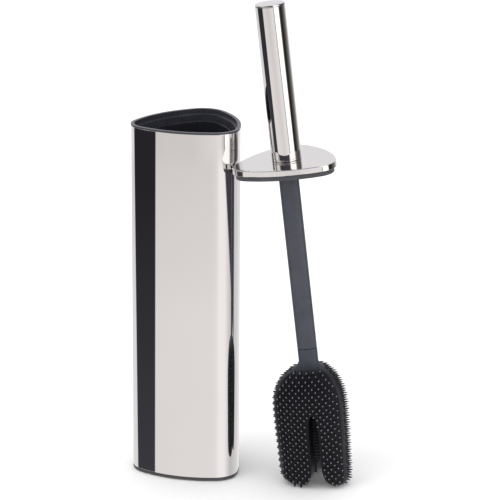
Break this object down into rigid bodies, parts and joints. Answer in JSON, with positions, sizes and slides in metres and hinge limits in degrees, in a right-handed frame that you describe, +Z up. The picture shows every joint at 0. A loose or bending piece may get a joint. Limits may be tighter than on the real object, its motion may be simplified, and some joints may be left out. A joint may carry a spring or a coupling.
{
  "type": "toilet brush and holder",
  "caption": "Free-standing rounded-triangle steel toilet brush holder with lift-out bucket, and a lidded steel-handled brush with a lobed, bristled silicone head leaning beside it.",
  "frame": {"origin": "holder's axis at the floor, in the middle of the non-slip pad's underside", "axes": "+Z up along the holder's axis; -Y out of one flat side of the holder; the brush stands on the +X side"},
  "size_m": [0.1882, 0.0975, 0.408],
  "materials": {
    "outer_sleeve": "polished",
    "rim_ring": "satin",
    "base_tray": "satin",
    "ballast_plate": "matte",
    "base_screw": "satin",
    "non_slip_pad": "matte",
    "inner_bucket": "satin",
    "lid_plate": "polished",
    "lid_plug": "satin",
    "fastener_steel": "satin",
    "handle_steel": "polished",
    "handle_insert": "satin",
    "shaft": "satin",
    "head_core": "satin",
    "head_silicone": "satin"
  },
  "bodies": {
    "holder": {"outer_sleeve": "outer_sleeve", "rim_ring": "rim_ring", "base_tray": "base_tray", "ballast_plate": "ballast_plate", "base_screw_1": "base_screw", "base_screw_2": "base_screw", "base_screw_3": "base_screw", "non_slip_pad": "non_slip_pad"},
    "bucket": {"inner_bucket": "inner_bucket"},
    "brush": {"lid_plate": "lid_plate", "lid_plug": "lid_plug", "tie_stud": "fastener_steel", "stud_washer": "fastener_steel", "stud_nut": "fastener_steel", "handle_ring": "handle_steel", "handle_insert": "handle_insert", "handle_tube": "handle_steel", "handle_cap": "handle_steel", "shaft": "shaft"},
    "head": {"head_core": "head_core", "head_skin": "head_silicone"}
  },
  "joints": [
    {"name": "bucket_lift", "type": "slide", "parent": "holder", "child": "bucket", "axis": [0, 0, 1], "range_m": [0, 0.32]},
    {"name": "brush_lift", "type": "slide", "parent": "holder", "child": "brush", "axis": [0, 0, 1], "range_m": [0, 0.36]},
    {"name": "head_twist", "type": "hinge", "parent": "brush", "child": "head", "pos_m": [0.10371, -0.00456, 0.11778], "axis": [-0.1092, -0.0359, 0.9934], "range_deg": [0, 90]}
  ]
}
